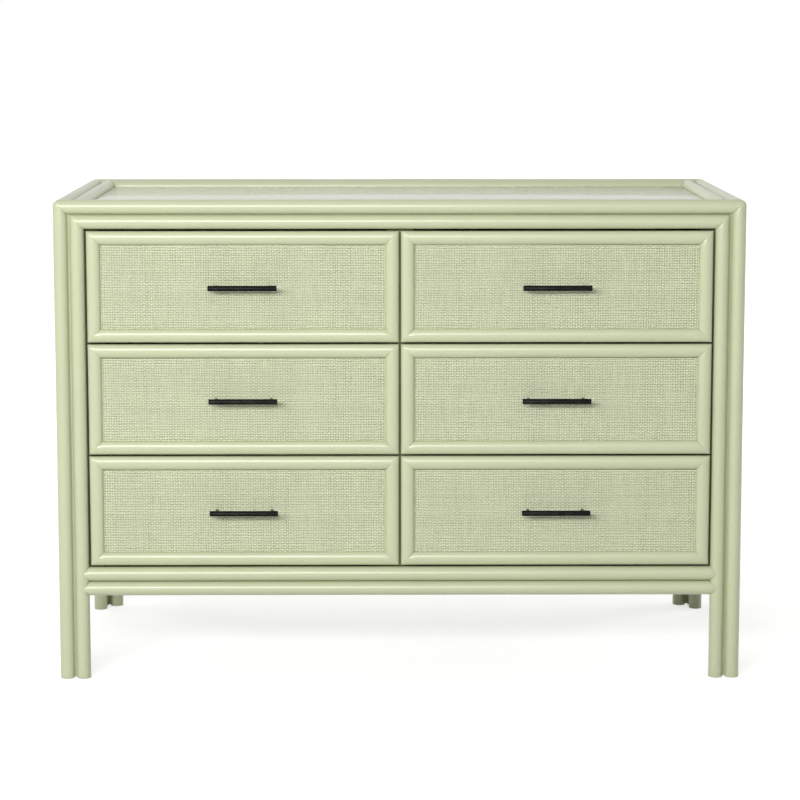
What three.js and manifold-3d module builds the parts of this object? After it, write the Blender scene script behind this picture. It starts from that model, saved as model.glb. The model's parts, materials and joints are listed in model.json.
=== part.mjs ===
// Dresser with six drawers, three rows in two columns, in a frame of round rattan poles.
// Millimetres. +X is to the right, the drawer fronts face -Y, +Z is up.
// The origin is on the floor, at the middle of the bounding box.

import * as THREE from "three";
import { mergeVertices } from "three/addons/utils/BufferGeometryUtils.js";
import Module from "manifold-3d";

const wasm = await Module();
wasm.setup();

// ---------------------------------------------------------------- driving dimensions

const WIDTH = 1200; // over the corner poles
const DEPTH = 540; // from the face of the front poles to the face of the back poles
const HEIGHT = 847; // from the floor to the top of the poles
const LEG_CLEARANCE = 148; // from the floor to the underside of the bottom rails

const POLE = 25.5; // diameter of every pole
const LEG_GAP = 3; // between neighbouring upright poles
const RAIL_GAP = 0.6; // between the two poles of a rail
const TRAY_DEPTH = 12; // from the top of the poles down to the top panel
const FIT = 0.3; // clearance between pieces that meet
const GLUE = -0.02; // in a glued mitre: the pieces run into each other by this much

const TOP_PANEL = 15; // thicknesses of the carcass boards
const BOTTOM_PANEL = 12;
const SIDE_PANEL = 12;
const BACK_PANEL = 12;
const DIVIDER = 18;
const RUNNER_BOARD = 12;
const SPACER_POST = 30; // front to back, behind a runner board
const RUNNER_HEIGHT = 18;

const ROWS = ["bottom", "middle", "top"];
const DRAWER_GAP = 3; // all round each drawer front
const FRONT_SETBACK = 2; // from the face of the poles back to the crown of the moulding
const FRONT_BOARD = 12; // thickness of the board behind the moulding
const BOARD_INSET = 1; // from the edge of the moulding in to the edge of its board
const MOULDING_WIDTH = 24;
const MOULDING_LIP = 1; // straight edge of the moulding, under its half-round
const MOULDING_ROOT = 1.5; // how deep the moulding is let into its board
const WEAVE = 2.5; // thickness of the woven panel

const BOX_WALL = 12;
const BOX_BOTTOM = 6;
const BOX_GROOVE = 4; // how far the bottom sits in the walls
const BOTTOM_RISE = 8; // from the lower edge of the walls up to the bottom
const BOX_RISE = 10; // from the lower edge of the front up to the box
const BOX_DROP = 14.5; // from the upper edge of the front down to the rim of the box
const SIDE_CLEARANCE = 2; // between a box and the boards beside it
const BACK_CLEARANCE = 12; // between a closed box and the back panel

const HANDLE_LENGTH = 119;
const HANDLE_BAR = 9.6; // diameter
const HANDLE_REACH = 30; // from the woven panel to the front of the bar
const POST_SPACING = 96;
const POST_DIAMETER = 8;
const FLANGE_DIAMETER = 13;
const FLANGE_THICKNESS = 2;
const BAR_CHAMFER = 1;

const POLE_SIDES = 32;
const BAR_SIDES = 16;
const MOULDING_SEGMENTS = 12;

// ---------------------------------------------------------------- derived places

const RADIUS = POLE / 2;
const POLE_PITCH = POLE + LEG_GAP;

const WEAVE_FACE = POLE - FRONT_BOARD - FIT - WEAVE; // behind the face of the poles
const HANDLE_OVERHANG = HANDLE_REACH - WEAVE_FACE; // in front of the face of the poles
const FRONT = (HANDLE_OVERHANG - DEPTH) / 2;
const BACK = FRONT + DEPTH;

const OUTER_X = WIDTH / 2 - RADIUS;
const INNER_X = OUTER_X - POLE_PITCH;
const OUTER_Y = { front: FRONT + RADIUS, back: BACK - RADIUS };
const INNER_Y = { front: OUTER_Y.front + POLE_PITCH, back: OUTER_Y.back - POLE_PITCH };

const TOP_RAIL = HEIGHT - RADIUS;
const LOWER_TOP_RAIL = TOP_RAIL - POLE - RAIL_GAP;
const LOWER_BOTTOM_RAIL = LEG_CLEARANCE + RADIUS;
const BOTTOM_RAIL = LOWER_BOTTOM_RAIL + POLE + RAIL_GAP;
const OPENING_TOP = LOWER_TOP_RAIL - RADIUS;
const OPENING_BOTTOM = BOTTOM_RAIL + RADIUS;
const OPENING_HALF = INNER_X - RADIUS;

const FRONT_WIDTH = (2 * OPENING_HALF - 3 * DRAWER_GAP) / 2;
const ROW_PITCH = (OPENING_TOP - OPENING_BOTTOM - DRAWER_GAP) / ROWS.length;
const FRONT_HEIGHT = ROW_PITCH - DRAWER_GAP;
const DRAWER_X = (FRONT_WIDTH + DRAWER_GAP) / 2;
const BOX_WIDTH = FRONT_WIDTH - (DIVIDER - DRAWER_GAP) - 2 * SIDE_CLEARANCE;

const INSIDE_FRONT = FRONT + POLE + FIT;
const INSIDE_BACK = BACK - POLE - FIT;
const BACK_PANEL_FACE = BACK - POLE;
const BOX_DEPTH = BACK_PANEL_FACE - BACK_CLEARANCE - INSIDE_FRONT;

const SIDE_PANEL_FACE = OUTER_X - RADIUS;
const RUNNER_REACH = SIDE_CLEARANCE + BOX_WALL;
const RUNNER_BOARD_X = DRAWER_X + BOX_WIDTH / 2 + SIDE_CLEARANCE;
const FIRST_RUNNER = OPENING_BOTTOM + DRAWER_GAP + BOX_RISE - FIT - RUNNER_HEIGHT;
const BOTTOM_PANEL_TOP = FIRST_RUNNER - FIT;
const TOP_PANEL_TOP = HEIGHT - TRAY_DEPTH;
const CASE_BOTTOM = BOTTOM_PANEL_TOP + FIT;
const CASE_TOP = Math.min(TOP_PANEL_TOP - TOP_PANEL, HEIGHT - POLE) - FIT; // under the panel and poles

// ---------------------------------------------------------------- materials

const paint = (color, roughness) =>
  new THREE.MeshStandardMaterial({ color, roughness, metalness: 0, flatShading: true });

const paintedPole = paint(0xcdd3b1, 0.35);
const paintedBoard = paint(0xcbcfb4, 0.4);
const wovenCane = paint(0xd3d9b9, 0.6);
const rawWood = paint(0xc9a878, 0.6);
const blackMetal = new THREE.MeshStandardMaterial({
  color: 0x282426,
  roughness: 0.35,
  metalness: 0.6,
  flatShading: true,
});

// ---------------------------------------------------------------- solids

// Turns a closed geometry into a solid that can be joined and cut.
function solidOf(geometry) {
  const bare = geometry.clone();
  bare.deleteAttribute("normal");
  bare.deleteAttribute("uv");
  const merged = mergeVertices(bare, 1e-3);
  const vertProperties = merged.attributes.position.array;
  const triVerts = new Uint32Array(merged.index.array);
  return new wasm.Manifold(new wasm.Mesh({ numProp: 3, vertProperties, triVerts }));
}

function geometryOf(solid) {
  const { vertProperties, triVerts } = solid.getMesh();
  const geometry = new THREE.BufferGeometry();
  geometry.setAttribute("position", new THREE.BufferAttribute(vertProperties, 3));
  geometry.setIndex(new THREE.BufferAttribute(triVerts, 1));
  geometry.computeVertexNormals();
  return geometry;
}

// A board between two opposite corners.
function board([x0, y0, z0], [x1, y1, z1]) {
  const geometry = new THREE.BoxGeometry(x1 - x0, y1 - y0, z1 - z0);
  geometry.translate((x0 + x1) / 2, (y0 + y1) / 2, (z0 + z1) / 2);
  return solidOf(geometry);
}

// A round bar along one axis, "x", "y" or "z". The places along the other two are in `at`.
function bar(axis, from, to, at, radius = RADIUS, sides = POLE_SIDES) {
  const geometry = new THREE.CylinderGeometry(radius, radius, to - from, sides);
  if (axis === "x") geometry.rotateZ(-Math.PI / 2);
  if (axis === "z") geometry.rotateX(Math.PI / 2);
  const centre = new THREE.Vector3(at.x, at.y, at.z).setComponent("xyz".indexOf(axis), (from + to) / 2);
  geometry.translate(...centre);
  return solidOf(geometry);
}

const inward = {
  x: (side) => new THREE.Vector3(-side, 0, 0),
  y: (end) => new THREE.Vector3(0, end === "front" ? 1 : -1, 0),
  z: () => new THREE.Vector3(0, 0, -1),
};

// Cuts a pole that leaves `corner` along `keep` at the mitre with one that leaves it along `other`.
function mitre(solid, corner, keep, other, gap = FIT) {
  const normal = keep.clone().sub(other).normalize();
  return solid.trimByPlane(normal.toArray(), normal.dot(corner) + gap / 2);
}

// Hollows the end of a pole to the round of the pole that it meets.
function cope(solid, axis, from, to, at) {
  return solid.subtract(bar(axis, from, to, at, RADIUS + FIT));
}

// ---------------------------------------------------------------- upright poles

function cornerPole(side, end) {
  const corner = new THREE.Vector3(side * OUTER_X, OUTER_Y[end], TOP_RAIL);
  const upright = bar("z", 0, HEIGHT, corner);
  const againstFront = mitre(upright, corner, inward.z(), inward.x(side));
  return mitre(againstFront, corner, inward.z(), inward.y(end));
}

function frontPole(side) {
  const corner = new THREE.Vector3(side * INNER_X, OUTER_Y.front, LOWER_TOP_RAIL);
  const upright = bar("z", 0, LOWER_TOP_RAIL + RADIUS, corner);
  return mitre(upright, corner, inward.z(), inward.x(side));
}

function backPole(side) {
  const at = { x: side * INNER_X, y: OUTER_Y.back, z: TOP_RAIL };
  const upright = bar("z", 0, TOP_RAIL, at);
  return cope(upright, "x", at.x - POLE, at.x + POLE, at);
}

function sidePole(side, end) {
  const corner = new THREE.Vector3(side * OUTER_X, INNER_Y[end], LOWER_TOP_RAIL);
  const upright = bar("z", 0, LOWER_TOP_RAIL + RADIUS, corner);
  return mitre(upright, corner, inward.z(), inward.y(end));
}

// ---------------------------------------------------------------- rails

// The upper rail of the front or of the back, in a three-way mitre at both ends.
function crossTopRail(end) {
  let rail = bar("x", -WIDTH / 2, WIDTH / 2, { y: OUTER_Y[end], z: TOP_RAIL });
  for (const side of [-1, 1]) {
    const corner = new THREE.Vector3(side * OUTER_X, OUTER_Y[end], TOP_RAIL);
    rail = mitre(rail, corner, inward.x(side), inward.z());
    rail = mitre(rail, corner, inward.x(side), inward.y(end));
  }
  return rail;
}

function sideTopRail(side) {
  let rail = bar("y", FRONT, BACK, { x: side * OUTER_X, z: TOP_RAIL });
  for (const end of ["front", "back"]) {
    const corner = new THREE.Vector3(side * OUTER_X, OUTER_Y[end], TOP_RAIL);
    rail = mitre(rail, corner, inward.y(end), inward.z());
    rail = mitre(rail, corner, inward.y(end), inward.x(side));
  }
  return rail;
}

function lowerFrontTopRail() {
  const half = INNER_X + RADIUS;
  let rail = bar("x", -half, half, { y: OUTER_Y.front, z: LOWER_TOP_RAIL });
  for (const side of [-1, 1]) {
    const corner = new THREE.Vector3(side * INNER_X, OUTER_Y.front, LOWER_TOP_RAIL);
    rail = mitre(rail, corner, inward.x(side), inward.z());
  }
  return rail;
}

function lowerSideTopRail(side) {
  const at = { x: side * OUTER_X, z: LOWER_TOP_RAIL };
  let rail = bar("y", INNER_Y.front - RADIUS, INNER_Y.back + RADIUS, at);
  for (const end of ["front", "back"]) {
    const corner = new THREE.Vector3(at.x, INNER_Y[end], LOWER_TOP_RAIL);
    rail = mitre(rail, corner, inward.y(end), inward.z());
  }
  return rail;
}

// A rail of the front or back between two uprights, coped onto both.
function crossBottomRail(end, z) {
  let rail = bar("x", -INNER_X, INNER_X, { y: OUTER_Y[end], z });
  for (const side of [-1, 1])
    rail = cope(rail, "z", z - POLE, z + POLE, { x: side * INNER_X, y: OUTER_Y[end] });
  return rail;
}

function sideBottomRail(side, z) {
  let rail = bar("y", INNER_Y.front, INNER_Y.back, { x: side * OUTER_X, z });
  for (const end of ["front", "back"])
    rail = cope(rail, "z", z - POLE, z + POLE, { x: side * OUTER_X, y: INNER_Y[end] });
  return rail;
}

// The inner poles of the tray edge, glued into one: two that run back from the front rail, coped
// onto it, and one along the back, mitred to both.
function trayEdge() {
  const half = INNER_X + RADIUS;
  let back = bar("x", -half, half, { y: INNER_Y.back, z: TOP_RAIL });
  const sides = [-1, 1].map((side) => {
    const corner = new THREE.Vector3(side * INNER_X, INNER_Y.back, TOP_RAIL);
    back = mitre(back, corner, inward.x(side), inward.y("back"), GLUE);
    const pole = bar("y", OUTER_Y.front, INNER_Y.back + RADIUS, corner);
    const front = { y: OUTER_Y.front, z: TOP_RAIL };
    const coped = cope(pole, "x", corner.x - POLE, corner.x + POLE, front);
    return mitre(coped, corner, inward.y("back"), inward.x(side), GLUE);
  });
  return sides.reduce((made, pole) => made.add(pole), back);
}

// ---------------------------------------------------------------- carcass boards

function topPanel() {
  const half = OPENING_HALF - FIT;
  return board(
    [-half, INSIDE_FRONT, TOP_PANEL_TOP - TOP_PANEL],
    [half, INNER_Y.back - RADIUS - FIT, TOP_PANEL_TOP],
  );
}

function bottomPanel() {
  const half = SIDE_PANEL_FACE - FIT;
  return board(
    [-half, INSIDE_FRONT, BOTTOM_PANEL_TOP - BOTTOM_PANEL],
    [half, INSIDE_BACK, BOTTOM_PANEL_TOP],
  );
}

function sidePanel(side) {
  const faces = [side * SIDE_PANEL_FACE, side * (SIDE_PANEL_FACE + SIDE_PANEL)].sort((a, b) => a - b);
  return board(
    [faces[0], INNER_Y.front + RADIUS + FIT, OPENING_BOTTOM + FIT],
    [faces[1], INNER_Y.back - RADIUS - FIT, OPENING_TOP - FIT],
  );
}

function backPanel() {
  const half = OPENING_HALF - FIT;
  return board(
    [-half, BACK_PANEL_FACE, OPENING_BOTTOM + FIT],
    [half, BACK_PANEL_FACE + BACK_PANEL, TOP_RAIL - RADIUS - FIT],
  );
}

// The lower edges of the runners: one under each row, and one above the top row.
const runnerLevels = [0, ...ROWS.keys()].map((_, i) => FIRST_RUNNER + i * ROW_PITCH);

// The upright board between the two columns, with runners on both of its faces.
function divider() {
  const thin = DIVIDER / 2;
  const wide = thin + RUNNER_REACH;
  return runnerLevels.reduce(
    (made, z) => made.add(board([-wide, INSIDE_FRONT, z], [wide, INSIDE_BACK, z + RUNNER_HEIGHT])),
    board([-thin, INSIDE_FRONT, CASE_BOTTOM], [thin, INSIDE_BACK, CASE_TOP]),
  );
}

// The board beside the outer drawers, with its runners and the two posts that hold it off the side.
function runnerBoard(side) {
  const plank = (x0, x1, y0, y1, z0, z1) =>
    side > 0 ? board([x0, y0, z0], [x1, y1, z1]) : board([-x1, y0, z0], [-x0, y1, z1]);
  const inner = RUNNER_BOARD_X;
  const outer = SIDE_PANEL_FACE - FIT;
  const [low, high] = [CASE_BOTTOM, CASE_TOP];
  let made = plank(inner, inner + RUNNER_BOARD, INSIDE_FRONT, INSIDE_BACK, low, high);
  for (const z of runnerLevels) {
    const runner = plank(
      inner - RUNNER_REACH,
      inner + RUNNER_BOARD / 2,
      INSIDE_FRONT,
      INSIDE_BACK,
      z,
      z + RUNNER_HEIGHT,
    );
    made = made.add(runner);
  }
  for (const y of [INSIDE_FRONT, INSIDE_BACK - SPACER_POST])
    made = made.add(plank(inner, outer, y, y + SPACER_POST, low, high));
  return made;
}

// ---------------------------------------------------------------- drawers
// A drawer is made about the middle of its front, with y = 0 at the face of the poles.

// A profile swept round a rectangle with mitred corners. Its points are [inset, y], and y falls
// along the outer side of the profile.
function sweptFrame(halfWidth, halfHeight, profile) {
  const corners = [
    [-1, -1],
    [1, -1],
    [1, 1],
    [-1, 1],
  ];
  const points = corners.flatMap(([sx, sz]) =>
    profile.flatMap(([inset, y]) => [sx * (halfWidth - inset), y, sz * (halfHeight - inset)]),
  );
  const count = profile.length;
  const index = [];
  corners.forEach((_, corner) => {
    const next = (corner + 1) % corners.length;
    for (let i = 0; i < count; i++) {
      const j = (i + 1) % count;
      const [a, b, c, d] = [corner * count + i, next * count + i, next * count + j, corner * count + j];
      index.push(a, b, c, a, c, d);
    }
  });
  const geometry = new THREE.BufferGeometry();
  geometry.setAttribute("position", new THREE.Float32BufferAttribute(points, 3));
  geometry.setIndex(index);
  return solidOf(geometry);
}

// The front: a board behind a half-round moulding.
function drawerFront() {
  const face = POLE - FRONT_BOARD;
  const lip = face - MOULDING_LIP;
  const rise = lip - FRONT_SETBACK;
  const profile = [[0, face + MOULDING_ROOT]];
  for (let i = 0; i <= MOULDING_SEGMENTS; i++) {
    const angle = (Math.PI * i) / MOULDING_SEGMENTS;
    profile.push([(MOULDING_WIDTH / 2) * (1 - Math.cos(angle)), lip - rise * Math.sin(angle)]);
  }
  profile.push([MOULDING_WIDTH, face + MOULDING_ROOT]);
  const halfWidth = FRONT_WIDTH / 2 - BOARD_INSET;
  const halfHeight = FRONT_HEIGHT / 2 - BOARD_INSET;
  return sweptFrame(FRONT_WIDTH / 2, FRONT_HEIGHT / 2, profile).add(
    board([-halfWidth, face, -halfHeight], [halfWidth, POLE, halfHeight]),
  );
}

function drawerWeave() {
  const halfWidth = FRONT_WIDTH / 2 - MOULDING_WIDTH - FIT;
  const halfHeight = FRONT_HEIGHT / 2 - MOULDING_WIDTH - FIT;
  return board([-halfWidth, WEAVE_FACE, -halfHeight], [halfWidth, WEAVE_FACE + WEAVE, halfHeight]);
}

// Four walls with a thin bottom in grooves, open at the top.
function drawerBox() {
  const half = BOX_WIDTH / 2;
  const [y0, y1] = [POLE + FIT, POLE + FIT + BOX_DEPTH];
  const [z0, z1] = [BOX_RISE - FRONT_HEIGHT / 2, FRONT_HEIGHT / 2 - BOX_DROP];
  const inner = half - BOX_WALL;
  const through = BOX_WALL; // the cut runs out past the rim and the lower edge
  const walls = board([-half, y0, z0], [half, y1, z1]).subtract(
    board([-inner, y0 + BOX_WALL, z0 - through], [inner, y1 - BOX_WALL, z1 + through]),
  );
  const edge = BOX_WALL - BOX_GROOVE;
  const bottom = board(
    [edge - half, y0 + edge, z0 + BOTTOM_RISE],
    [half - edge, y1 - edge, z0 + BOTTOM_RISE + BOX_BOTTOM],
  );
  return walls.add(bottom);
}

// A bar with chamfered ends on two posts, each with a flange against the woven panel.
function drawerHandle() {
  const radius = HANDLE_BAR / 2;
  const y = WEAVE_FACE - HANDLE_REACH + radius;
  const half = HANDLE_LENGTH / 2;
  const outline = [
    [0, -half],
    [radius - BAR_CHAMFER, -half],
    [radius, BAR_CHAMFER - half],
    [radius, half - BAR_CHAMFER],
    [radius - BAR_CHAMFER, half],
    [0, half],
  ].map(([x, z]) => new THREE.Vector2(x, z));
  const turned = new THREE.LatheGeometry(outline, BAR_SIDES);
  turned.rotateZ(-Math.PI / 2).translate(0, y, 0);
  const foot = WEAVE_FACE - FIT;
  return [-1, 1].reduce((made, side) => {
    const at = { x: (side * POST_SPACING) / 2, z: 0 };
    const post = bar("y", y, foot, at, POST_DIAMETER / 2, BAR_SIDES);
    const flange = bar("y", foot - FLANGE_THICKNESS, foot, at, FLANGE_DIAMETER / 2, BAR_SIDES);
    return made.add(post).add(flange);
  }, solidOf(turned));
}

// ---------------------------------------------------------------- assembly

const dresser = new THREE.Group();

function place(name, solid, material, parent = dresser) {
  const mesh = new THREE.Mesh(geometryOf(solid), material);
  mesh.name = name;
  parent.add(mesh);
}

const SIDES = [
  ["left", -1],
  ["right", 1],
];

for (const [name, side] of SIDES) {
  for (const end of ["front", "back"]) {
    place(`${end}_${name}_corner_pole`, cornerPole(side, end), paintedPole);
    place(`${end}_${name}_side_pole`, sidePole(side, end), paintedPole);
  }
  place(`front_${name}_inner_pole`, frontPole(side), paintedPole);
  place(`back_${name}_inner_pole`, backPole(side), paintedPole);
  place(`${name}_top_rail_upper`, sideTopRail(side), paintedPole);
  place(`${name}_top_rail_lower`, lowerSideTopRail(side), paintedPole);
  place(`${name}_bottom_rail_upper`, sideBottomRail(side, BOTTOM_RAIL), paintedPole);
  place(`${name}_bottom_rail_lower`, sideBottomRail(side, LOWER_BOTTOM_RAIL), paintedPole);
  place(`${name}_side_panel`, sidePanel(side), paintedBoard);
  place(`${name}_runner_board`, runnerBoard(side), rawWood);
}

place("front_top_rail_upper", crossTopRail("front"), paintedPole);
place("front_top_rail_lower", lowerFrontTopRail(), paintedPole);
place("front_bottom_rail_upper", crossBottomRail("front", BOTTOM_RAIL), paintedPole);
place("front_bottom_rail_lower", crossBottomRail("front", LOWER_BOTTOM_RAIL), paintedPole);
place("back_top_rail", crossTopRail("back"), paintedPole);
place("back_bottom_rail", crossBottomRail("back", BOTTOM_RAIL), paintedPole);
place("tray_edge_poles", trayEdge(), paintedPole);
place("top_panel", topPanel(), paintedBoard);
place("bottom_panel", bottomPanel(), paintedBoard);
place("back_panel", backPanel(), paintedBoard);
place("centre_divider", divider(), paintedBoard);

const drawerPieces = [
  ["front", drawerFront(), paintedPole],
  ["weave", drawerWeave(), wovenCane],
  ["box", drawerBox(), rawWood],
  ["handle", drawerHandle(), blackMetal],
];

ROWS.forEach((row, level) => {
  for (const [column, side] of SIDES) {
    const drawer = new THREE.Group();
    const z = OPENING_BOTTOM + DRAWER_GAP + FRONT_HEIGHT / 2 + level * ROW_PITCH;
    drawer.position.set(side * DRAWER_X, FRONT, z);
    for (const [piece, solid, material] of drawerPieces)
      place(`${row}_${column}_drawer_${piece}`, solid, material, drawer);
    dresser.add(drawer);
  }
});

export default dresser;
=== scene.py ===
"""A low, wide dresser in a frame of painted rattan poles, with six drawers with woven fronts.

Lengths are in metres. +X is to the right, the drawer fronts face -Y, +Z is up, the floor is z = 0.
"""

import json
import math
import random

import bmesh
import bpy
from mathutils import Matrix, Vector

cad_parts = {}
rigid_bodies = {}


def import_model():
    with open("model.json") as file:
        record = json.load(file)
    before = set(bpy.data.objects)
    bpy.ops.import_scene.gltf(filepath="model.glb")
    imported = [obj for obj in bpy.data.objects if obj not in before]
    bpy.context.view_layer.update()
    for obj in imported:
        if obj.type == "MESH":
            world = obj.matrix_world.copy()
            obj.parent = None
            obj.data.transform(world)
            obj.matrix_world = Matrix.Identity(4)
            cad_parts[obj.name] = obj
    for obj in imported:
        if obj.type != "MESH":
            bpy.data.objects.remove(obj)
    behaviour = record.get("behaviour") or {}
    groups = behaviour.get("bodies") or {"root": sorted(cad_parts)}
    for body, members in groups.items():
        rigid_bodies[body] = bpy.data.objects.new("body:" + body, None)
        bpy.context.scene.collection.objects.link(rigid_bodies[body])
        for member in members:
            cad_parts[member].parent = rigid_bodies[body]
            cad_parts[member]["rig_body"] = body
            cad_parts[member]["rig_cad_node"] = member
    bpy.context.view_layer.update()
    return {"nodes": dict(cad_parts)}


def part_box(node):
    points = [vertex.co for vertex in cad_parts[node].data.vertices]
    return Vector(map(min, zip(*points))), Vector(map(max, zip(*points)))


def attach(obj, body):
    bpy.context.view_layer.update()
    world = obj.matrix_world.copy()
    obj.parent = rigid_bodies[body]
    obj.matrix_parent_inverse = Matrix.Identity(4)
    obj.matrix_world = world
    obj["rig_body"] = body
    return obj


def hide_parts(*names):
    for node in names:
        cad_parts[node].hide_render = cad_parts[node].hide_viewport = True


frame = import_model()
MM = 0.001

# ------------------------------------------------------------------ places taken from the frame

SIDES = (("left", -1), ("right", 1))
ENDS = (("front", -1), ("back", 1))
ROWS = ("bottom", "middle", "top")
DRAWERS = [(f"{row}_{column}_drawer", side) for row in ROWS for column, side in SIDES]


def middle(node):
    low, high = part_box(node)
    return (low + high) / 2


def size(node):
    low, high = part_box(node)
    return high - low


RADIUS = size("front_left_corner_pole").x / 2
PITCH = middle("front_left_inner_pole").x - middle("front_left_corner_pole").x
OUTER_X = middle("front_right_corner_pole").x
INNER_X = middle("front_right_inner_pole").x
OUTER_Y = {-1: middle("front_left_corner_pole").y, 1: middle("back_left_corner_pole").y}
INNER_Y = {-1: middle("front_left_side_pole").y, 1: middle("back_left_side_pole").y}
TOP_RAIL = middle("front_top_rail_upper").z
LOWER_TOP_RAIL = middle("front_top_rail_lower").z
BOTTOM_RAIL = middle("front_bottom_rail_upper").z
LOWER_BOTTOM_RAIL = middle("front_bottom_rail_lower").z

AXES = "xyz"
TURNS = {"x": (0, math.pi / 2, 0), "y": (math.pi / 2, 0, 0), "z": (0, 0, 0)}

# ------------------------------------------------------------------ working with bpy.ops


def deselect():
    bpy.ops.object.select_all(action="DESELECT")


def activate(piece):
    deselect()
    piece.select_set(True)
    bpy.context.view_layer.objects.active = piece
    return piece


def start(add, name, **place):
    """Adds a primitive with nothing else selected, and names it."""
    deselect()
    add(**place)
    piece = bpy.context.active_object
    piece.name = name
    piece.data.name = name
    return piece


def settle(piece):
    """Puts a piece's place into its mesh."""
    activate(piece)
    bpy.ops.object.transform_apply(location=True, rotation=True, scale=True)
    return piece


def rod(name, axis, centre, radius, length, sides):
    """A round rod along an axis, to be shaped further."""
    return settle(
        start(
            bpy.ops.mesh.primitive_cylinder_add,
            name,
            vertices=sides,
            radius=radius,
            depth=length,
            location=centre,
            rotation=TURNS[axis],
        )
    )


def block(name, low, high):
    """A block between two corners, to be shaped further."""
    piece = start(bpy.ops.mesh.primitive_cube_add, name, size=1, location=(low + high) / 2)
    piece.scale = high - low
    return settle(piece)


def shape(piece, *steps):
    """Runs edit-mode steps on a piece, each with everything selected first."""
    activate(piece)
    bpy.ops.object.mode_set(mode="EDIT")
    for step in steps:
        bpy.ops.mesh.select_all(action="SELECT")
        step(piece)
    bpy.ops.object.mode_set(mode="OBJECT")
    return piece


def pick(kind, test):
    """Selects the faces, edges or vertices that pass a test, in the mesh being edited."""
    mesh = bpy.context.edit_object.data
    bpy.ops.mesh.select_mode(type=kind)
    bpy.ops.mesh.select_all(action="DESELECT")
    made = bmesh.from_edit_mesh(mesh)
    for element in {"FACE": made.faces, "EDGE": made.edges, "VERT": made.verts}[kind]:
        element.select_set(test(element))
    made.select_flush_mode()
    bmesh.update_edit_mesh(mesh)


def apply_modifiers(piece):
    activate(piece)
    for modifier in list(piece.modifiers):
        bpy.ops.object.modifier_apply(modifier=modifier.name)
    return piece


def combine(piece, other, operation):
    """Joins another shape to a piece, or takes it away from the piece."""
    modifier = piece.modifiers.new("combine", "BOOLEAN")
    modifier.operation = operation
    modifier.solver = "EXACT"
    modifier.object = other
    apply_modifiers(piece)
    bpy.data.objects.remove(other)


def rings(axis, count):
    """A step that cuts a bar into rings across its axis."""

    def along(edge):
        run = edge.verts[1].co - edge.verts[0].co
        return abs(run[axis]) > 0.99 * run.length

    def step(_):
        pick("EDGE", along)
        bpy.ops.mesh.subdivide(number_cuts=count)

    return step


def cut(place, away, fill=True):
    """A step that cuts off what lies on the side of a plane that `away` points to."""

    def step(_):
        bpy.ops.mesh.bisect(
            plane_co=place, plane_no=away, use_fill=fill, clear_outer=True, threshold=1e-6
        )

    return step


def soften(amount, segments=2, angle=30):
    """A step that rounds the sharp edges."""

    def step(_):
        bpy.ops.mesh.select_mode(type="EDGE")
        bpy.ops.mesh.select_all(action="DESELECT")
        bpy.ops.mesh.edges_select_sharp(sharpness=math.radians(angle))
        bpy.ops.mesh.bevel(offset=amount, segments=segments, profile=0.5, clamp_overlap=True)

    return step


def smooth(piece, angle=35):
    activate(piece)
    bpy.ops.object.shade_smooth_by_angle(angle=math.radians(angle))
    return piece


def twin(piece, name, turn=None):
    """A copy with a mesh of its own, moved or mirrored by a matrix."""
    copy = piece.copy()
    copy.data = piece.data.copy()
    copy.name = name
    copy.data.name = name
    bpy.context.scene.collection.objects.link(copy)
    if turn is not None:
        copy.data.transform(turn)
        if turn.determinant() < 0:
            copy.data.flip_normals()
    return copy


def finish_piece(piece, material, body, slot, *nodes):
    """Gives a finished piece its material and body, and hides the CAD nodes that it stands for. Its
    slot is not used.
    """
    piece.data.materials.clear()
    piece.data.materials.append(material)
    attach(piece, body)
    if nodes:
        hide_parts(*nodes)
    return piece


# ------------------------------------------------------------------ shader node groups


SKIN_OUTPUTS = (
    ("Color", "NodeSocketColor"),
    ("Roughness", "NodeSocketFloat"),
    ("Height", "NodeSocketFloat"),
)
# The Pointiness range of the painted shade that darkens creases and deep corners, where shade
# falls.
CREASE_SHADE_FROM, CREASE_SHADE_TO = 0.485, 0.44  # Pointiness, from a flat face to a deep hollow
EDGE_FROM, EDGE_TO = 0.53, 0.6  # Pointiness, from a flat face to a sharp edge


class Group:
    """A node group under construction, with named inputs and outputs."""

    def __init__(self, name, inputs):
        self.tree = bpy.data.node_groups.new(name, "ShaderNodeTree")
        for label, kind, value in inputs:
            socket = self.tree.interface.new_socket(label, in_out="INPUT", socket_type=kind)
            if value is not None:
                socket.default_value = value
        for label, kind in SKIN_OUTPUTS:
            self.tree.interface.new_socket(label, in_out="OUTPUT", socket_type=kind)
        self.given = self.tree.nodes.new("NodeGroupInput").outputs
        self.result = self.tree.nodes.new("NodeGroupOutput").inputs

    def node(self, kind, inputs=(), **settings):
        return add_node(self.tree, kind, inputs, **settings)

    def math(self, operation, a, b):
        return self.node("ShaderNodeMath", {0: a, 1: b}, operation=operation).outputs[0]

    def mix(self, factor, a, b, blend="MIX"):
        made = self.node("ShaderNodeMix", {"Factor": factor}, data_type="RGBA", blend_type=blend)
        for socket, value in ((made.inputs[6], a), (made.inputs[7], b)):
            feed(self.tree, socket, value)
        return made.outputs[2]

    def spread(self, value, low, high, to_low=0.0, to_high=1.0):
        inputs = {0: value, 1: low, 2: high, 3: to_low, 4: to_high}
        return self.node("ShaderNodeMapRange", inputs).outputs[0]

    def noise(self, vector, scale, detail):
        inputs = {"Vector": vector, "Scale": scale, "Detail": detail}
        return self.node("ShaderNodeTexNoise", inputs).outputs[0]

    def stretched(self):
        """The group's Vector times its Stretch, which draws a pattern out along the piece."""
        inputs = {0: self.given["Vector"], 1: self.given["Stretch"]}
        return self.node("ShaderNodeVectorMath", inputs, operation="MULTIPLY").outputs[0]

    def give(self, colour, rough, height):
        for label, value in (("Color", colour), ("Roughness", rough), ("Height", height)):
            feed(self.tree, self.result[label], value)
        return self.tree


def feed(tree, socket, value):
    if isinstance(value, bpy.types.NodeSocket):
        tree.links.new(value, socket)
    else:
        socket.default_value = value


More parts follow.
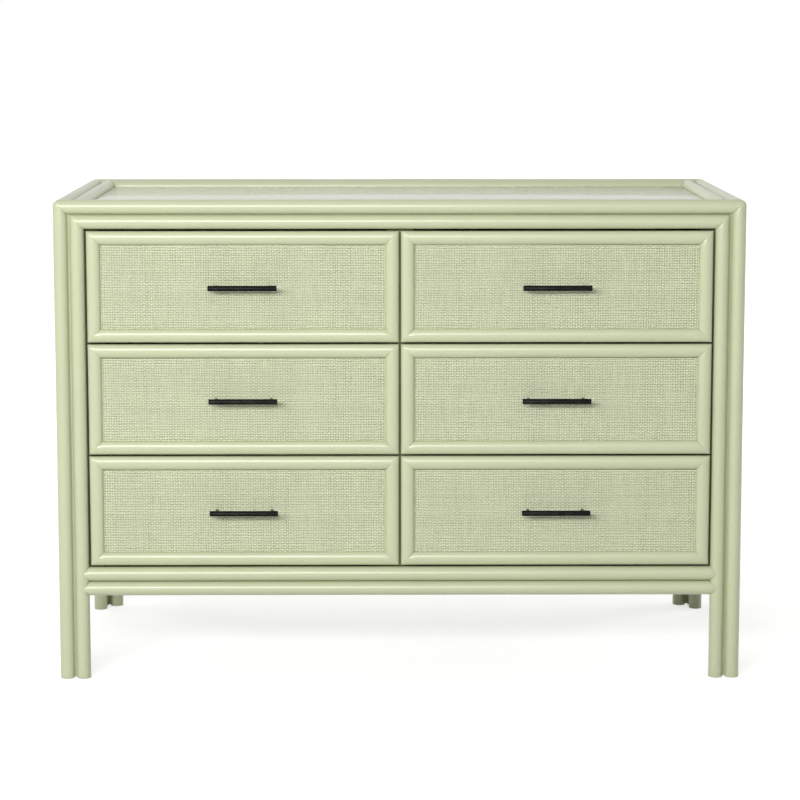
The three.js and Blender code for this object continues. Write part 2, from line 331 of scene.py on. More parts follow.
def add_node(tree, kind, inputs=(), **settings):
    node = tree.nodes.new(kind)
    for key, value in settings.items():
        setattr(node, key, value)
    for key, value in dict(inputs).items():
        feed(tree, node.inputs[key], value)
    return node


def painted_skin():
    """Brushed satin paint: faint streaks, soft mottling, worn edges, and painted shade in creases
    and in sunken parts.
    """
    group = Group(
        "painted_skin",
        [
            ("Vector", "NodeSocketVector", None),
            ("Stretch", "NodeSocketVector", (1, 1, 1)),
            ("Paint", "NodeSocketColor", (0.6, 0.65, 0.44, 1)),
            ("Hollow Tone", "NodeSocketColor", (0.4, 0.43, 0.27, 1)),
            ("Edge Tone", "NodeSocketColor", (0.7, 0.74, 0.55, 1)),
            ("Gloss", "NodeSocketFloat", 0.35),
            ("Wear", "NodeSocketFloat", 0.5),
            ("Streaks", "NodeSocketFloat", 0.0),
            ("Recess Shade", "NodeSocketFloat", 0.0),
            ("Deep", "NodeSocketFloat", 0.0),
            ("Proud", "NodeSocketFloat", 1.0),
        ],
    )
    given = group.given
    streaks = group.noise(group.stretched(), 160.0, 3.0)
    mottle = group.noise(given["Vector"], 9.0, 2.0)
    peel = group.noise(given["Vector"], 420.0, 1.0)
    shape_of = group.node("ShaderNodeNewGeometry").outputs["Pointiness"]

    tone = group.spread(mottle, 0.3, 0.7, 0.0, 0.1)
    colour = group.mix(tone, given["Paint"], given["Hollow Tone"])
    streaky = group.math("MULTIPLY", group.spread(streaks, 0.4, 0.65), given["Streaks"])
    colour = group.mix(streaky, colour, given["Hollow Tone"])
    # Painted shade: the deeper a point lies (its Object Y), the nearer its colour goes to the shade
    # tone, so recesses look shaded.
    depth = group.node("ShaderNodeSeparateXYZ", {0: given["Vector"]}).outputs[1]
    recess_shade = group.spread(depth, given["Proud"], given["Deep"])
    colour = group.mix(group.math("MULTIPLY", recess_shade, given["Recess Shade"]), colour, given["Hollow Tone"])
    # Painted shade: creases and deep corners, found by Pointiness, are darkened towards the shade
    # tone.
    crease_shade = group.spread(shape_of, CREASE_SHADE_FROM, CREASE_SHADE_TO, 0.0, 0.75)
    colour = group.mix(crease_shade, colour, given["Hollow Tone"])
    patchy = group.spread(mottle, 0.42, 0.62)
    edge = group.math("MULTIPLY", group.spread(shape_of, EDGE_FROM, EDGE_TO), patchy)
    colour = group.mix(group.math("MULTIPLY", edge, given["Wear"]), colour, given["Edge Tone"])

    rough = group.math("ADD", given["Gloss"], group.spread(streaks, 0.3, 0.7, -0.03, 0.05))
    height = group.math("ADD", group.math("MULTIPLY", streaks, 0.7), peel)
    return group.give(colour, rough, height)


def wood_grain():
    """Light wood: year rings cut lengthwise, fine pores and a slow change of tone."""
    group = Group(
        "wood_grain",
        [
            ("Vector", "NodeSocketVector", None),
            ("Stretch", "NodeSocketVector", (1, 1, 1)),
            ("Light Wood", "NodeSocketColor", (0.62, 0.42, 0.23, 1)),
            ("Dark Wood", "NodeSocketColor", (0.4, 0.23, 0.1, 1)),
            ("Gloss", "NodeSocketFloat", 0.5),
        ],
    )
    given = group.given
    along = group.stretched()
    bands = group.noise(along, 14.0, 3.0)
    year_rings = group.math("FRACT", group.math("MULTIPLY", bands, 9.0), 0.0)
    tone = group.math("MULTIPLY", group.spread(year_rings, 0.0, 1.0, 0.1, 0.6), bands)
    colour = group.mix(tone, given["Light Wood"], given["Dark Wood"])
    pore = group.spread(group.noise(along, 260.0, 2.0), 0.6, 0.75, 0.0, 0.35)
    colour = group.mix(pore, colour, given["Dark Wood"])
    rough = group.math("ADD", given["Gloss"], group.math("MULTIPLY", pore, 0.4))
    height = group.math("SUBTRACT", group.math("MULTIPLY", year_rings, 0.25), pore)
    return group.give(colour, rough, height)


def metal_skin():
    """Powder coat: a fine pebbled surface with faint rubbed marks."""
    group = Group(
        "metal_skin",
        [
            ("Vector", "NodeSocketVector", None),
            ("Coating", "NodeSocketColor", (0.02, 0.018, 0.019, 1)),
            ("Rubbed", "NodeSocketColor", (0.09, 0.085, 0.08, 1)),
            ("Gloss", "NodeSocketFloat", 0.35),
        ],
    )
    given = group.given
    pebbles = group.noise(given["Vector"], 1600.0, 1.0)
    marks = group.noise(given["Vector"], 60.0, 4.0)
    shape_of = group.node("ShaderNodeNewGeometry").outputs["Pointiness"]
    rubbed = group.math(
        "MULTIPLY", group.spread(shape_of, 0.52, 0.62), group.spread(marks, 0.45, 0.6)
    )
    colour = group.mix(rubbed, given["Coating"], given["Rubbed"])
    rough = group.math("ADD", given["Gloss"], group.spread(marks, 0.3, 0.7, -0.05, 0.08))
    return group.give(colour, rough, pebbles)


# ------------------------------------------------------------------ materials


def srgb(red, green, blue):
    """A colour written as it looks, on a scale of 255."""

    def linear(value):
        share = value / 255
        return share / 12.92 if share <= 0.04045 else ((share + 0.055) / 1.055) ** 2.4

    return (linear(red), linear(green), linear(blue), 1)


def material(name, group, inputs, bump=0.2, depth=0.0003, **plain):
    """A Principled material fed by one of the node groups, in object coordinates."""
    made = bpy.data.materials.new(name)
    made.use_nodes = True
    tree = made.node_tree
    shader = tree.nodes["Principled BSDF"]
    place = tree.nodes.new("ShaderNodeTexCoord").outputs["Object"]
    skin = add_node(tree, "ShaderNodeGroup", node_tree=group)
    feed(tree, skin.inputs["Vector"], place)
    for key, value in inputs.items():
        skin.inputs[key].default_value = value
    bumps = {"Strength": bump, "Distance": depth, "Height": skin.outputs["Height"]}
    normal = add_node(tree, "ShaderNodeBump", bumps).outputs["Normal"]
    for socket, value in (
        ("Base Color", skin.outputs["Color"]),
        ("Roughness", skin.outputs["Roughness"]),
        ("Normal", normal),
    ):
        feed(tree, shader.inputs[socket], value)
    for key, value in plain.items():
        shader.inputs[key.replace("_", " ")].default_value = value
    return made


SKIN = painted_skin()
GRAIN = wood_grain()
COATING = metal_skin()

# The darker tone below is both the colour of the random mottling and streaks and the painted shade
# in creases and recesses.
SAGE = {
    "Paint": srgb(190, 196, 162),
    "Hollow Tone": srgb(160, 165, 129),
    "Edge Tone": srgb(210, 214, 188),
}
LENGTHWISE = {"x": (0.05, 1, 1), "y": (1, 0.05, 1), "z": (1, 1, 0.05)}

POLE_PAINT = {
    axis: material(
        f"painted_pole_{axis}",
        SKIN,
        {**SAGE, "Stretch": stretch, "Gloss": 0.32},
        Coat_Weight=0.25,
        Coat_Roughness=0.25,
    )
    for axis, stretch in LENGTHWISE.items()
}
BOARD_PAINT = material(
    "painted_board",
    SKIN,
    {**SAGE, "Stretch": (0.5, 1, 1), "Gloss": 0.22},
    bump=0.03,
    Coat_Weight=0.3,
    Coat_Roughness=0.12,
)
# Darker paints that stand in for shade: the inside boards and the divider seen through the gaps
# between drawers, and the strips in the grooves between poles, are painted as if shaded.
SHADE_TONES = {
    "inside": srgb(88, 97, 74),
    "divider": srgb(140, 146, 112),
    "groove": srgb(166, 171, 136),
}
SHADE_PAINT = {
    tone: material(
        f"painted_{tone}",
        SKIN,
        {**SAGE, "Paint": paint, "Hollow Tone": paint, "Stretch": (1, 0.08, 1), "Gloss": 0.5},
    )
    for tone, paint in SHADE_TONES.items()
}

WEAVE_LOW, WEAVE_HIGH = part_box(DRAWERS[0][0] + "_weave")
WEAVE_SETBACK = 0.2 * MM
WEAVE_MIDDLE = (WEAVE_LOW.y + WEAVE_HIGH.y) / 2 + WEAVE_SETBACK
# The depth over which the weave's painted shade goes from the proud strands to the deep ones.
WEAVE_SHADE_SPAN = 1.5 * MM  # from the deep strands' tone to the proud strands' tone
CANE_PAINT = material(
    "painted_cane",
    SKIN,
    {
        **SAGE,
        "Paint": srgb(234, 240, 210),
        "Hollow Tone": srgb(190, 195, 160),
        "Stretch": (1.5, 1, 0.15),
        "Gloss": 0.42,
        "Wear": 0.2,
        "Streaks": 0.3,
        # Painted shade in the recesses of the weave, from the depth of each point.
        "Recess Shade": 0.8,
        "Deep": WEAVE_MIDDLE,
        "Proud": WEAVE_MIDDLE - WEAVE_SHADE_SPAN,
    },
    bump=0.3,
)
WOOD = {
    axis: material(f"drawer_wood_{axis}", GRAIN, {"Stretch": stretch}, bump=0.15, Coat_Weight=0.1)
    for axis, stretch in {"x": (0.06, 1, 1), "y": (1, 0.06, 1)}.items()
}
BLACK = material(
    "satin_black",
    COATING,
    {"Coating": (0.004, 0.003, 0.003, 1), "Rubbed": (0.03, 0.028, 0.027, 1), "Gloss": 0.3},
    bump=0.15,
    depth=0.0001,
    Specular_IOR_Level=0.1,
)
STEEL = material(
    "zinc_steel",
    COATING,
    {"Coating": srgb(190, 188, 180), "Rubbed": srgb(225, 225, 222), "Gloss": 0.3},
    bump=0.1,
    depth=0.0001,
    Metallic=1.0,
)

# ------------------------------------------------------------------ rattan poles

POLE_SIDES = 40
RING_SPACING = 14 * MM
SWELL = 0.55 * MM  # how much a pole narrows between its thickest places
MOULDING_SWELL = 0.5 * MM
MITRE_GAP = 0.06 * MM
COPE_GAP = 0.25 * MM
PAINTED_EDGE = 0.35 * MM
FOOT_ROUNDING = 2.6 * MM
COPE_LENGTH = 4 * RADIUS
COPE_SIDES = 64

swelling = bpy.data.textures.new("pole_swelling", "CLOUDS")
swelling.noise_scale = 0.16
swelling.noise_depth = 1


def inward(axis, side=1):
    """The direction in which a pole along an axis leaves the corner on the given side."""
    way = Vector((0, 0, 0))
    way[AXES.index(axis)] = -side
    return way


def mitre(corner, keep, other):
    """A step that cuts a pole at its mitre with another that leaves the same corner."""
    away = (other - keep).normalized()
    return cut(corner - away * MITRE_GAP / 2, away)


def swell(piece, amount):
    """Gives a pole or a moulding the uneven girth of a cane; it only ever gets thinner."""
    modifier = piece.modifiers.new("swell", "DISPLACE")
    modifier.texture = swelling
    modifier.texture_coords = "GLOBAL"
    modifier.direction = "NORMAL"
    modifier.mid_level = 1.0
    modifier.strength = amount
    apply_modifiers(piece)


def cope(piece, axis, centre):
    """Hollows the end of a pole to the round of the pole that it meets."""
    other = rod("cope_cutter", axis, centre, RADIUS + COPE_GAP, COPE_LENGTH, COPE_SIDES)
    combine(piece, other, "DIFFERENCE")


def round_foot(_):
    """A step that rounds the foot of a pole, on the floor."""
    pick("EDGE", lambda edge: all(vertex.co.z < 1e-5 for vertex in edge.verts))
    bpy.ops.mesh.bevel(offset=FOOT_ROUNDING, segments=4, profile=0.5)


def pole(node, axis, ends, mitres=(), copes=(), foot=False, centre=None, name=None):
    """One rattan pole for a node, along an axis between two places on it, cut and coped."""
    centre = Vector(centre or middle(node))
    centre[AXES.index(axis)] = sum(ends) / 2
    length = ends[1] - ends[0]
    piece = rod(name or node + "_cane", axis, centre, RADIUS, length, POLE_SIDES)
    shape(piece, rings(AXES.index(axis), max(1, round(length / RING_SPACING))))
    swell(piece, SWELL)
    shape(piece, *mitres)
    for other_axis, place in copes:
        cope(piece, other_axis, place)
    shape(piece, soften(PAINTED_EDGE), *([round_foot] if foot else []))
    smooth(piece)
    return finish_piece(piece, POLE_PAINT[axis], "carcass", "painted_rattan", node)


def upright_poles():
    """Three poles at each corner of the dresser, from the floor to the top rails."""
    for name, side in SIDES:
        for end_name, end in ENDS:
            corner = Vector((side * OUTER_X, OUTER_Y[end], TOP_RAIL))
            down, across, along = inward("z"), inward("x", side), inward("y", end)
            pole(
                f"{end_name}_{name}_corner_pole",
                "z",
                (0, TOP_RAIL + RADIUS),
                [mitre(corner, down, across), mitre(corner, down, along)],
                foot=True,
            )
            corner = Vector((side * OUTER_X, INNER_Y[end], LOWER_TOP_RAIL))
            pole(
                f"{end_name}_{name}_side_pole",
                "z",
                (0, LOWER_TOP_RAIL + RADIUS),
                [mitre(corner, down, along)],
                foot=True,
            )
        corner = Vector((side * INNER_X, OUTER_Y[-1], LOWER_TOP_RAIL))
        pole(
            f"front_{name}_inner_pole",
            "z",
            (0, LOWER_TOP_RAIL + RADIUS),
            [mitre(corner, inward("z"), inward("x", side))],
            foot=True,
        )
        rail = Vector((side * INNER_X, OUTER_Y[1], TOP_RAIL))
        pole(f"back_{name}_inner_pole", "z", (0, TOP_RAIL), copes=[("x", rail)], foot=True)


def rails():
    """The poles that run across and front to back, at the top and under the drawers."""
    for end_name, end in ENDS:
        node = "back_top_rail" if end > 0 else "front_top_rail_upper"
        mitres = []
        for _, side in SIDES:
            corner = Vector((side * OUTER_X, OUTER_Y[end], TOP_RAIL))
            keep = inward("x", side)
            mitres += [mitre(corner, keep, inward("z")), mitre(corner, keep, inward("y", end))]
        pole(node, "x", (-OUTER_X - RADIUS, OUTER_X + RADIUS), mitres)

    mitres = [
        mitre(Vector((side * INNER_X, OUTER_Y[-1], LOWER_TOP_RAIL)), inward("x", side), inward("z"))
        for _, side in SIDES
    ]
    half = INNER_X + RADIUS
    pole("front_top_rail_lower", "x", (-half, half), mitres)

    for node in ("front_bottom_rail_upper", "front_bottom_rail_lower", "back_bottom_rail"):
        place = middle(node)
        copes = [("z", Vector((side * INNER_X, place.y, place.z))) for _, side in SIDES]
        pole(node, "x", (-INNER_X, INNER_X), copes=copes)

    for name, side in SIDES:
        upper, lower = [], []
        for _, end in ENDS:
            corner = Vector((side * OUTER_X, OUTER_Y[end], TOP_RAIL))
            keep = inward("y", end)
            upper += [mitre(corner, keep, inward("z")), mitre(corner, keep, inward("x", side))]
            corner = Vector((side * OUTER_X, INNER_Y[end], LOWER_TOP_RAIL))
            lower.append(mitre(corner, keep, inward("z")))
        pole(f"{name}_top_rail_upper", "y", (OUTER_Y[-1] - RADIUS, OUTER_Y[1] + RADIUS), upper)
        pole(f"{name}_top_rail_lower", "y", (INNER_Y[-1] - RADIUS, INNER_Y[1] + RADIUS), lower)
        for level in ("upper", "lower"):
            node = f"{name}_bottom_rail_{level}"
            place = middle(node)
            copes = [("z", Vector((place.x, INNER_Y[end], place.z))) for _, end in ENDS]
            pole(node, "y", (INNER_Y[-1], INNER_Y[1]), copes=copes)


def tray_edge():
    """The inner poles of the tray edge: two at the sides and one along the back."""
    node = "tray_edge_poles"
    across = []
    for name, side in SIDES:
        front_rail = ("x", Vector((side * INNER_X, OUTER_Y[-1], TOP_RAIL)))
        corner = Vector((side * INNER_X, INNER_Y[1], TOP_RAIL))
        keep, other = inward("y", 1), inward("x", side)
        across.append(mitre(corner, other, keep))
        pole(
            node,
            "y",
            (OUTER_Y[-1], INNER_Y[1] + RADIUS),
            [mitre(corner, keep, other)],
            [front_rail],
            centre=corner,
            name=f"{name}_tray_cane",
        )
    half = INNER_X + RADIUS
    centre = Vector((0, INNER_Y[1], TOP_RAIL))
    pole(node, "x", (-half, half), across, centre=centre, name="back_tray_cane")


# ------------------------------------------------------------------ strips between the poles

STRIP_FACE = 0.5 * MM  # from the axes of the poles out to the face of the strip
STRIP_BACK = 4.0 * MM
STRIP_FOOT = 2.0 * MM
STRIP_DEPTH = 4.5 * MM  # of the strips in the tray edge
STRIP_PUTTY = 0.8 * MM  # how far the filled sides of a strip run up the rounds of its poles
STRIP_ROUNDING = 0.15 * MM
RAIL_STRIP = (0.8 * MM, 5.0 * MM)  # from the axes of two poles of a rail, inwards
RAIL_STRIP_HALF = 1.0 * MM


def strip(name, low, high, axis):
    """A narrow strip with rounded edges that closes the gap between two poles."""
    along = AXES.index(axis)
    piece = block(name, low, high)
    count = max(1, round((high - low)[along] / RING_SPACING / 2))
    shape(piece, rings(along, count), soften(STRIP_ROUNDING, 2))
    smooth(piece)
    # The strips take the groove tone, a painted shade between the poles.
    return finish_piece(piece, SHADE_PAINT["groove"], "carcass", "painted_rattan")


def filler_strips():
    """The strips between the upright poles, and between the poles of the tray edge."""
    half = (PITCH - 2 * RADIUS) / 2 + STRIP_PUTTY
    middle_x = (OUTER_X + INNER_X) / 2
    back_y = (OUTER_Y[1] + INNER_Y[1]) / 2
    for name, side in SIDES:
        for end_name, end in ENDS:
            ys = sorted((OUTER_Y[end] + end * STRIP_FACE, OUTER_Y[end] - end * STRIP_BACK))
            low = Vector((side * middle_x - half, ys[0], STRIP_FOOT))
            high = Vector((side * middle_x + half, ys[1], TOP_RAIL - RADIUS))
            strip(f"{end_name}_{name}_leg_strip", low, high, "z")
            middle_y = (OUTER_Y[end] + INNER_Y[end]) / 2
            xs = sorted((side * (OUTER_X + STRIP_FACE), side * (OUTER_X - STRIP_BACK)))
            low = Vector((xs[0], middle_y - half, STRIP_FOOT))
            high = Vector((xs[1], middle_y + half, TOP_RAIL - RADIUS))
            strip(f"{end_name}_{name}_side_strip", low, high, "z")
        low = Vector((side * middle_x - half, OUTER_Y[-1], TOP_RAIL - STRIP_DEPTH))
        high = Vector((side * middle_x + half, back_y - half, TOP_RAIL))
        strip(f"{name}_tray_strip", low, high, "y")
    low = Vector((-middle_x - half, back_y - half, TOP_RAIL - STRIP_DEPTH))
    high = Vector((middle_x + half, back_y + half, TOP_RAIL))
    strip("back_tray_strip", low, high, "x")


def rail_strips():
    """The strips that close the grooves between the two poles of the rails, from inside."""
    levels = (
        ("top", (TOP_RAIL + LOWER_TOP_RAIL) / 2, OUTER_X, OUTER_Y),
        ("bottom", (BOTTOM_RAIL + LOWER_BOTTOM_RAIL) / 2, INNER_X, INNER_Y),
    )
    near, far = RAIL_STRIP
    for level, z, reach, ys in levels:
        low = Vector((-reach, OUTER_Y[-1] + near, z - RAIL_STRIP_HALF))
        high = Vector((reach, OUTER_Y[-1] + far, z + RAIL_STRIP_HALF))
        strip(f"front_{level}_rail_strip", low, high, "x")
        for name, side in SIDES:
            xs = sorted((side * (OUTER_X - near), side * (OUTER_X - far)))
            low = Vector((xs[0], ys[-1], z - RAIL_STRIP_HALF))
            high = Vector((xs[1], ys[1], z + RAIL_STRIP_HALF))
            strip(f"{name}_{level}_rail_strip", low, high, "y")


upright_poles()
rails()
tray_edge()
filler_strips()
rail_strips()

# ------------------------------------------------------------------ carcass boards


BOARD_EASING = 0.8 * MM
MERGE_REACH = 0.01 * MM  # vertices of the frame's loose triangles that lie closer are one
BOARD_ANGLE = 60  # between two faces, from which their edge is eased


def softened_copy(node):
    """A copy of a board from the frame, merged, with its edges eased."""
    piece = twin(frame["nodes"][node], node + "_eased")
    piece.parent = None
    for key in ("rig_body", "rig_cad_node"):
        if key in piece:
            del piece[key]
    shape(
        piece,
        lambda _: bpy.ops.mesh.remove_doubles(threshold=MERGE_REACH),
        lambda _: bpy.ops.mesh.dissolve_limited(angle_limit=math.radians(1)),
        soften(BOARD_EASING, 2, BOARD_ANGLE),
    )
    return smooth(piece)


for node in ("top_panel", "bottom_panel", "back_panel", "left_side_panel", "right_side_panel"):
    finish_piece(softened_copy(node), BOARD_PAINT, "carcass", "painted_board", node)
for node in ("centre_divider", "left_runner_board", "right_runner_board"):
    # Painted shade: the runner boards and the divider take the darker tones of the shaded gaps.
    tone = "divider" if node == "centre_divider" else "inside"
    finish_piece(softened_copy(node), SHADE_PAINT[tone], "carcass", "painted_board", node)

# ------------------------------------------------------------------ drawer fronts

first = DRAWERS[0][0]  # the drawer at whose place the pieces of all six are modelled
FRONT_LOW, FRONT_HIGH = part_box(first + "_front")
FRONT_MIDDLE = (FRONT_LOW + FRONT_HIGH) / 2
WEAVE_GAP = 0.3 * MM  # between the frame's weave and mouldings
MOULDING = WEAVE_LOW.x - FRONT_LOW.x - WEAVE_GAP
MOULDING_SIDES = 48
BOARD = 12 * MM
BOARD_FACE = FRONT_HIGH.y - BOARD
LIP = 3.2 * MM  # the straight edge under the half round
SUNK = 1.2 * MM  # how far a moulding is let into the board
BOARD_INSET = 1 * MM


def half_round(name, axis, low, high, outer, face_in):
    """A half-round moulding along an axis, mitred at both ends.

    `outer` is its outer edge's place on the other axis, and `face_in` the way to its inner edge.
    """
    along, over = (0, 2) if axis == "x" else (2, 0)
    centre = Vector((0, BOARD_FACE - LIP, 0))
    centre[along] = (low + high) / 2
    centre[over] = outer + face_in * MOULDING / 2
    piece = rod(name, axis, centre, MOULDING / 2, high - low, MOULDING_SIDES)
    rise = (BOARD_FACE - LIP) - FRONT_LOW.y
    shape(
        piece,
        rings(along, round((high - low) / RING_SPACING)),
        lambda _: bpy.ops.transform.resize(
            value=(1, rise / (MOULDING / 2), 1), center_override=centre, orient_type="GLOBAL"
        ),
        cut(centre, Vector((0, 1, 0))),
    )

    def lip(_):
        pick("FACE", lambda face: face.normal.y > 0.9)
        bpy.ops.mesh.extrude_region_move(TRANSFORM_OT_translate={"value": (0, LIP + SUNK, 0)})

    shape(piece, lip)
    swell(piece, MOULDING_SWELL)
    steps = []
    for end, place in ((-1, low), (1, high)):
        corner = Vector((0, centre.y, 0))
        corner[along] = place
        corner[over] = outer
        steps.append(mitre(corner, inward(axis, end), inward(AXES[over], -face_in)))
    shape(piece, *steps)
    shape(piece, soften(0.25 * MM, 2, 40))
    return smooth(piece)


def mouldings():
    low, high = FRONT_LOW, FRONT_HIGH
    return {
        "moulding_top": half_round("moulding_top", "x", low.x, high.x, high.z, -1),
        "moulding_bottom": half_round("moulding_bottom", "x", low.x, high.x, low.z, 1),
        "moulding_left": half_round("moulding_left", "z", low.z, high.z, low.x, 1),
        "moulding_right": half_round("moulding_right", "z", low.z, high.z, high.x, -1),
    }


def eased_box(name, low, high, amount=0.6 * MM):
    """A board between two corners with eased edges."""
    piece = block(name, low, high)
    shape(piece, soften(amount, 2, BOARD_ANGLE))
    return smooth(piece)


def front_board():
    inset = Vector((BOARD_INSET, 0, BOARD_INSET))
    low = Vector((FRONT_LOW.x, BOARD_FACE, FRONT_LOW.z)) + inset
    return eased_box("board", low, FRONT_HIGH - inset)


# ------------------------------------------------------------------ the weave

SIDE_QUIRK = 0.5 * MM  # the groove between the weave and the mouldings
TOP_QUIRK = 1.3 * MM
FOOT_TUCK = 0.6 * MM  # how far the weave goes under the lower moulding
WARP_PITCH = 4.4 * MM
WEFT_PITCH = 2.92 * MM
WARP_WIDTH = 3.6 * MM
WEFT_WIDTH = 2.9 * MM
WARP_RISE = 0.4 * MM  # from a strand's edges to the middle of its face
WEFT_RISE = 0.85 * MM
WARP_LIFT = 0.1 * MM  # of a strand's middle, over and under the strands that cross it
WEFT_LIFT = 0.75 * MM
STRAND_DRIFT = 0.2 * MM  # how far a strand strays sideways


def strand(along, place, low, high, lifts, width, rise, pitch, steps_per_pitch, phase, chance):
    """The vertices and faces of a strand that waves over and under the strands that cross it.

    It runs along one axis from low to high, at a place on the other axis, and is flat at the back.
    """
    over = 2 - along
    count = round((high - low) / pitch * steps_per_pitch)
    length = high - low
    vertices, faces = [], []
    drift, lean = chance.uniform(0, math.tau), chance.uniform(20, 70)
    for i in range(count + 1):
        position = low + length * i / count
        stray = STRAND_DRIFT * math.sin(lean * position + drift)
        wave = math.cos(math.pi * (position - low) / pitch + phase)
        depth = -lifts[round((position - low) / pitch) % len(lifts)] * wave
        for offset, face in ((-width / 2, 0.0), (0.0, -rise), (width / 2, 0.0)):
            point = [0.0, depth + face, 0.0]
            point[along] = position
            point[over] = place + stray + offset
            vertices.append(point)
    for i in range(count):
        a, b = 3 * i, 3 * i + 3
        for j in range(3):
            k = (j + 1) % 3
            faces.append((a + j, a + k, b + k, b + j))
    faces.append((0, 2, 1))
    faces.append((3 * count, 3 * count + 1, 3 * count + 2))
    return vertices, faces


def weave():
    """A plain weave of flat strands, on the face of the board and up to the mouldings."""
    low = Vector((FRONT_LOW.x + MOULDING + SIDE_QUIRK, 0, FRONT_LOW.z + MOULDING - FOOT_TUCK))
    high = Vector((2 * FRONT_MIDDLE.x - low.x, 0, FRONT_HIGH.z - MOULDING - TOP_QUIRK))
    warps = round((high.x - low.x) / WARP_PITCH)
    wefts = round((high.z - low.z) / WEFT_PITCH)
    warp_pitch = (high.x - low.x) / warps
    weft_pitch = (high.z - low.z) / wefts
    chance = random.Random(7)
    vertices, faces = [], []

    def add(strand_vertices, strand_faces):
        offset = len(vertices)
        vertices.extend(strand_vertices)
        faces.extend(tuple(offset + i for i in face) for face in strand_faces)

    by_warp = [WEFT_LIFT * chance.uniform(0.5, 1.2) for _ in range(warps + 1)]
    for i in range(wefts):
        place = low.z + weft_pitch * (i + 0.5)
        phase = math.pi * (i % 2)
        width = WEFT_WIDTH * chance.uniform(0.88, 1.06)
        lifts = [lift * chance.uniform(0.85, 1.1) for lift in by_warp]
        add(*strand(0, place, low.x, high.x, lifts, width, WEFT_RISE, warp_pitch, 3, phase, chance))
    for i in range(warps + 1):
        place = low.x + warp_pitch * i
        phase = math.pi * ((i + 1) % 2) + math.pi / 2
        width = WARP_WIDTH * chance.uniform(0.85, 1.1)
        lifts = [WARP_LIFT]
        add(*strand(2, place, low.z, high.z, lifts, width, WARP_RISE, weft_pitch, 2, phase, chance))
    mesh = bpy.data.meshes.new("weave")
    mesh.from_pydata(vertices, [], faces)
    piece = bpy.data.objects.new("weave", mesh)
    bpy.context.scene.collection.objects.link(piece)
    mesh.transform(Matrix.Translation((0, WEAVE_MIDDLE, 0)))
    shape(piece, lambda _: bpy.ops.mesh.normals_make_consistent(inside=False))
    return smooth(piece, 180)


# ------------------------------------------------------------------ the drawer box

BOX_LOW, BOX_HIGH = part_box(first + "_box")
WALL = 12 * MM
BOTTOM = 6 * MM
BOTTOM_RISE = 8 * MM
FINGERS = 9
JOINT_GAP = 0.05 * MM
FINGER_EASING = 0.25 * MM


def fingered(name, low, high, axis, grown):
    """A wall with finger joints at both ends: `grown` is 0 where the even fingers are its own."""
    along = AXES.index(axis)
    piece = block(name, low, high)
    height = (high.z - low.z) / FINGERS

    def slice_it(_):
        for i in range(1, FINGERS):
            bpy.ops.mesh.select_all(action="SELECT")
            level = low.z + height * i
            bpy.ops.mesh.bisect(plane_co=(0, 0, level), plane_no=(0, 0, 1))

    def grow(side):
        def step(_):
            def chosen(face):
                level = int((face.calc_center_median().z - low.z) / height)
                return face.normal[along] * side > 0.9 and level % 2 == grown

            pick("FACE", chosen)
            move = [0.0, 0.0, 0.0]
            move[along] = side * (WALL - JOINT_GAP)
            bpy.ops.mesh.extrude_region_move(TRANSFORM_OT_translate={"value": move})

        return step

    shape(piece, slice_it, grow(-1), grow(1))
    shape(piece, soften(FINGER_EASING, 1, BOARD_ANGLE))
    return smooth(piece)


def drawer_box():
    """The front, back, sides and bottom of a drawer's box."""
    low, high = BOX_LOW, BOX_HIGH
    parts = {}
    for name, y in (("box_front", low.y), ("box_back", high.y - WALL)):
        a = Vector((low.x + WALL, y, low.z))
        b = Vector((high.x - WALL, y + WALL, high.z))
        parts[name] = fingered(name, a, b, "x", 1)
    for name, x in (("box_left", low.x), ("box_right", high.x - WALL)):
        a = Vector((x, low.y + WALL, low.z))
        b = Vector((x + WALL, high.y - WALL, high.z))
        parts[name] = fingered(name, a, b, "y", 0)
    inset = Vector((WALL - JOINT_GAP, WALL - JOINT_GAP, 0))
    a = Vector((low.x, low.y, low.z + BOTTOM_RISE)) + inset
    b = Vector((high.x, high.y, low.z + BOTTOM_RISE + BOTTOM)) - inset
    parts["box_bottom"] = eased_box("box_bottom", a, b, 0.1 * MM)
    return parts


# ------------------------------------------------------------------ the pull

HANDLE_LOW, HANDLE_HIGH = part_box(first + "_handle")
BAR_RADIUS = 4.8 * MM
POST_X = 48 * MM  # from the middle of the bar to a post
POST_RADIUS = 2.5 * MM
POST_REACH = 1 * MM  # how far a post goes in behind the front of the weave
CAP = 3.5 * MM  # from the end of the bar in to its groove
CAP_GROOVE = 0.8 * MM
CAP_GROOVE_DEPTH = 0.35 * MM
SCREW_HEAD = 4.2 * MM
SCREW_CROWN = 0.6  # how high a screw's head is, as a share of its radius
SCREW_SLOT = Vector((4.4, 1.8, 0.9)) * MM


